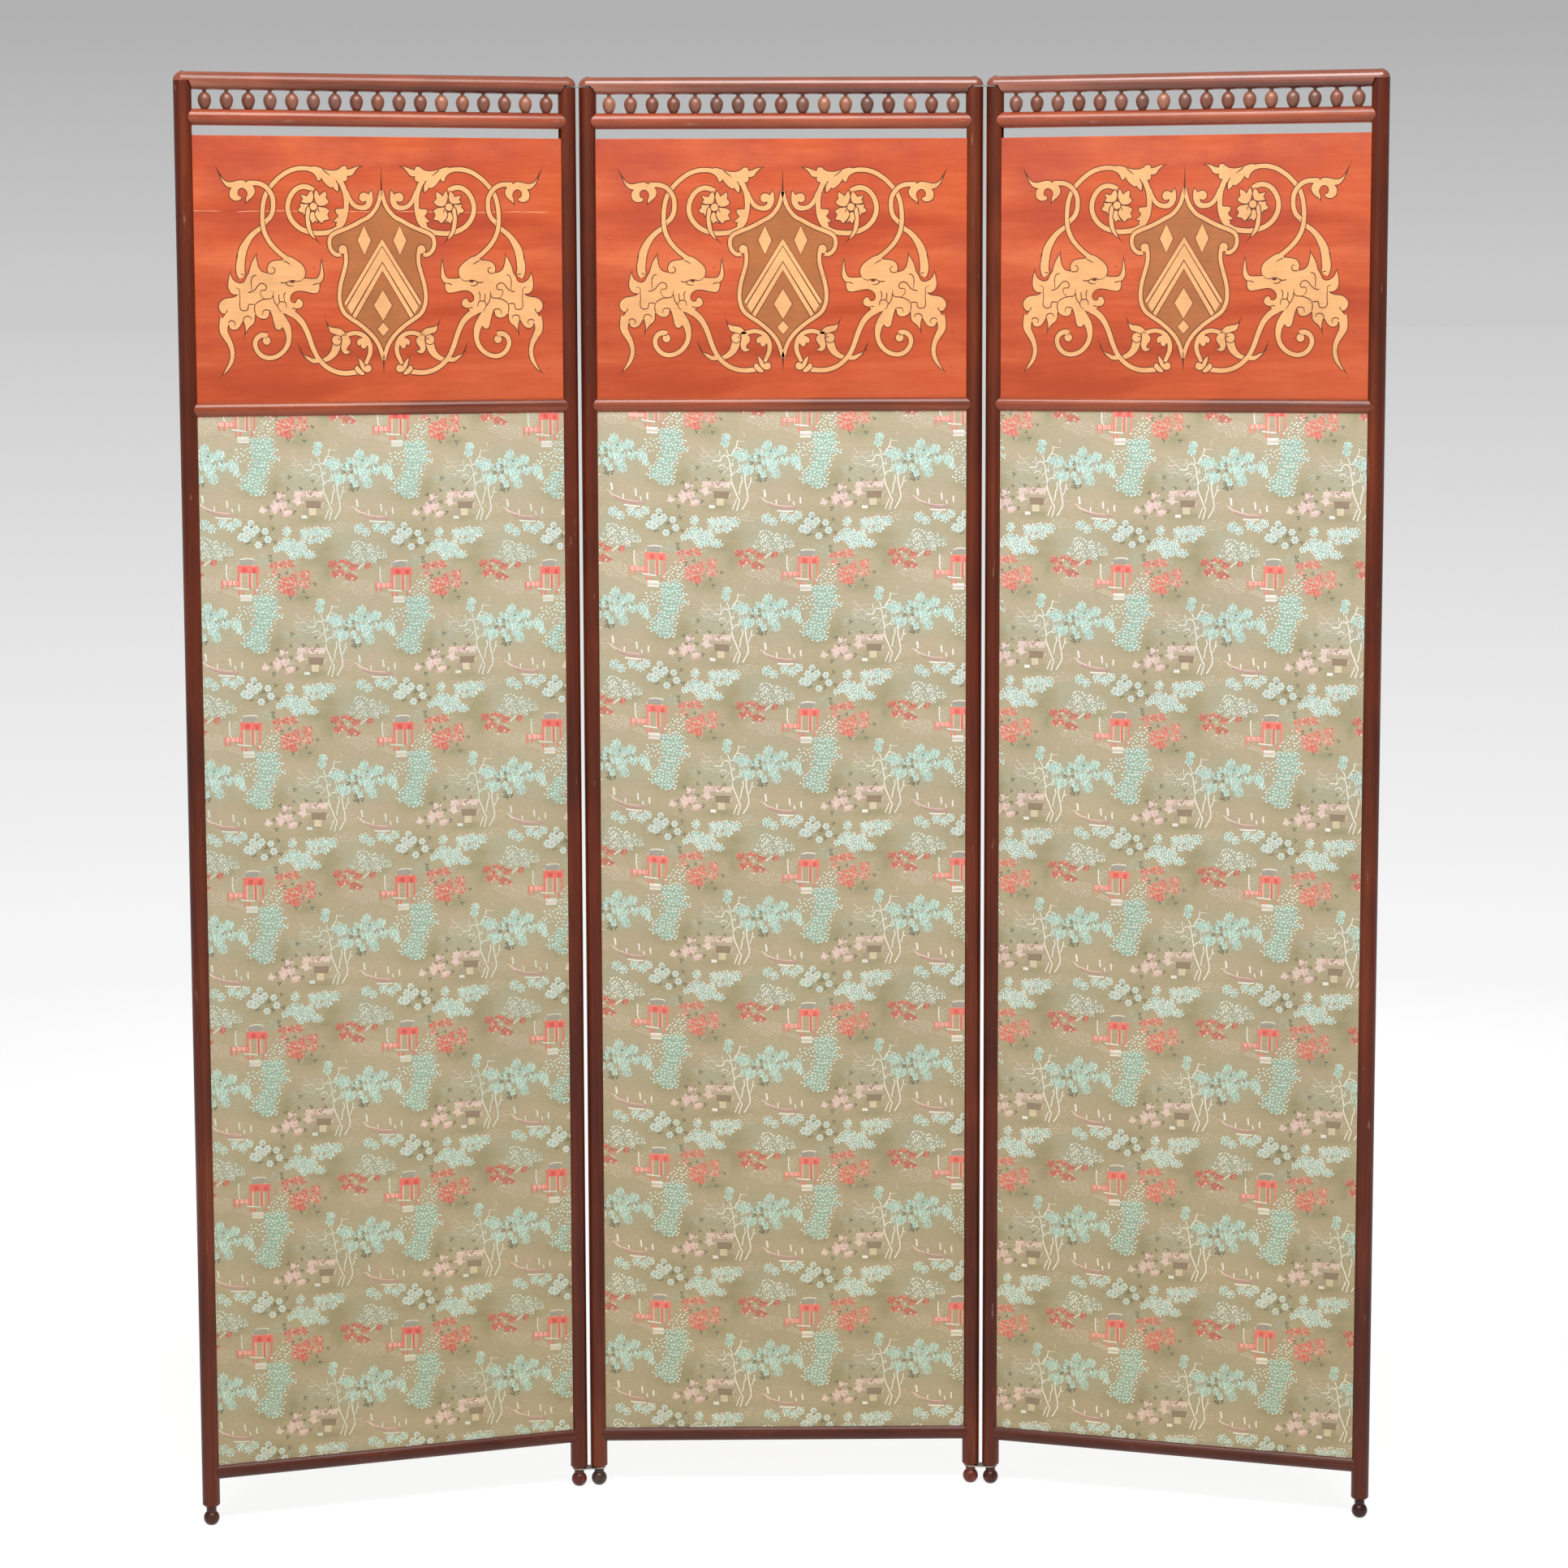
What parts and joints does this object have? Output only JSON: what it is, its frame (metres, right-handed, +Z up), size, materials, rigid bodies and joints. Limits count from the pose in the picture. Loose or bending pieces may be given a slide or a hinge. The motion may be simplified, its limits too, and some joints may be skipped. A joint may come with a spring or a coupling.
{
  "type": "folding screen",
  "caption": "Folding room screen of round mahogany sticks with a turned spindle gallery, inlaid upper boards, brocade panels and double-action link hinges.",
  "frame": {"origin": "on the floor, at the middle of the box of the whole screen as it stands at rest", "axes": "+Z up, +X to the right seen from the front, -Y towards the viewer; the centre leaf is square to Y"},
  "size_m": [1.4088, 0.1758, 1.7308],
  "materials": {
    "mahogany": "French-polished red-brown mahogany, worn on the edges",
    "turned_foot": "darker stained turned mahogany",
    "turned_spindle": "turned hardwood with a thin polish",
    "veneered_board": "orange-red veneer with light inlay, polished",
    "strainer_pine": "sawn pine, unfinished",
    "brocade": "silk brocade with a figured satin weave",
    "lining": "plain cotton sateen",
    "steel": "bright steel, slightly tarnished"
  },
  "bodies": {
    "left_leaf": {"left_outer_stile": "mahogany", "left_outer_foot": "turned_foot", "left_inner_stile": "mahogany", "left_inner_foot": "turned_foot", "left_top_rail": "mahogany", "left_gallery_rail": "mahogany", "left_middle_rail": "mahogany", "left_bottom_rail": "mahogany", "left_gallery_spindles": "turned_spindle", "left_inlaid_board": "veneered_board", "left_strainer_left_upright": "strainer_pine", "left_strainer_right_upright": "strainer_pine", "left_strainer_bottom_bar": "strainer_pine", "left_strainer_cross_bar": "strainer_pine", "left_strainer_top_bar": "strainer_pine", "left_brocade": "brocade", "left_back_lining": "lining", "left_corner_pins": "steel"},
    "centre_leaf": {"centre_left_stile": "mahogany", "centre_left_foot": "turned_foot", "centre_right_stile": "mahogany", "centre_right_foot": "turned_foot", "centre_top_rail": "mahogany", "centre_gallery_rail": "mahogany", "centre_middle_rail": "mahogany", "centre_bottom_rail": "mahogany", "centre_gallery_spindles": "turned_spindle", "centre_inlaid_board": "veneered_board", "centre_strainer_left_upright": "strainer_pine", "centre_strainer_right_upright": "strainer_pine", "centre_strainer_bottom_bar": "strainer_pine", "centre_strainer_cross_bar": "strainer_pine", "centre_strainer_top_bar": "strainer_pine", "centre_brocade": "brocade", "centre_back_lining": "lining", "centre_corner_pins": "steel"},
    "right_leaf": {"right_inner_stile": "mahogany", "right_inner_foot": "turned_foot", "right_outer_stile": "mahogany", "right_outer_foot": "turned_foot", "right_top_rail": "mahogany", "right_gallery_rail": "mahogany", "right_middle_rail": "mahogany", "right_bottom_rail": "mahogany", "right_gallery_spindles": "turned_spindle", "right_inlaid_board": "veneered_board", "right_strainer_left_upright": "strainer_pine", "right_strainer_right_upright": "strainer_pine", "right_strainer_bottom_bar": "strainer_pine", "right_strainer_cross_bar": "strainer_pine", "right_strainer_top_bar": "strainer_pine", "right_brocade": "brocade", "right_back_lining": "lining", "right_corner_pins": "steel"},
    "left_link": {"left_top_hinge_link": "steel", "left_bottom_hinge_link": "steel"},
    "right_link": {"right_top_hinge_link": "steel", "right_bottom_hinge_link": "steel"}
  },
  "joints": [
    {"name": "left_link_turn", "type": "hinge", "parent": "centre_leaf", "child": "left_link", "pos_m": [-0.2315, 0.07743, 0], "axis": [0, 0, 1], "range_deg": [-29.5, 80.5]},
    {"name": "left_leaf_turn", "type": "hinge", "parent": "left_link", "child": "left_leaf", "pos_m": [-0.25616, 0.07331, 0], "axis": [0, 0, 1], "range_deg": [-79.5, 80.5]},
    {"name": "right_link_turn", "type": "hinge", "parent": "centre_leaf", "child": "right_link", "pos_m": [0.2315, 0.07743, 0], "axis": [0, 0, 1], "range_deg": [-10.5, 99.5]},
    {"name": "right_leaf_turn", "type": "hinge", "parent": "right_link", "child": "right_leaf", "pos_m": [0.25616, 0.07331, 0], "axis": [0, 0, 1], "range_deg": [-60.5, 99.5]}
  ]
}
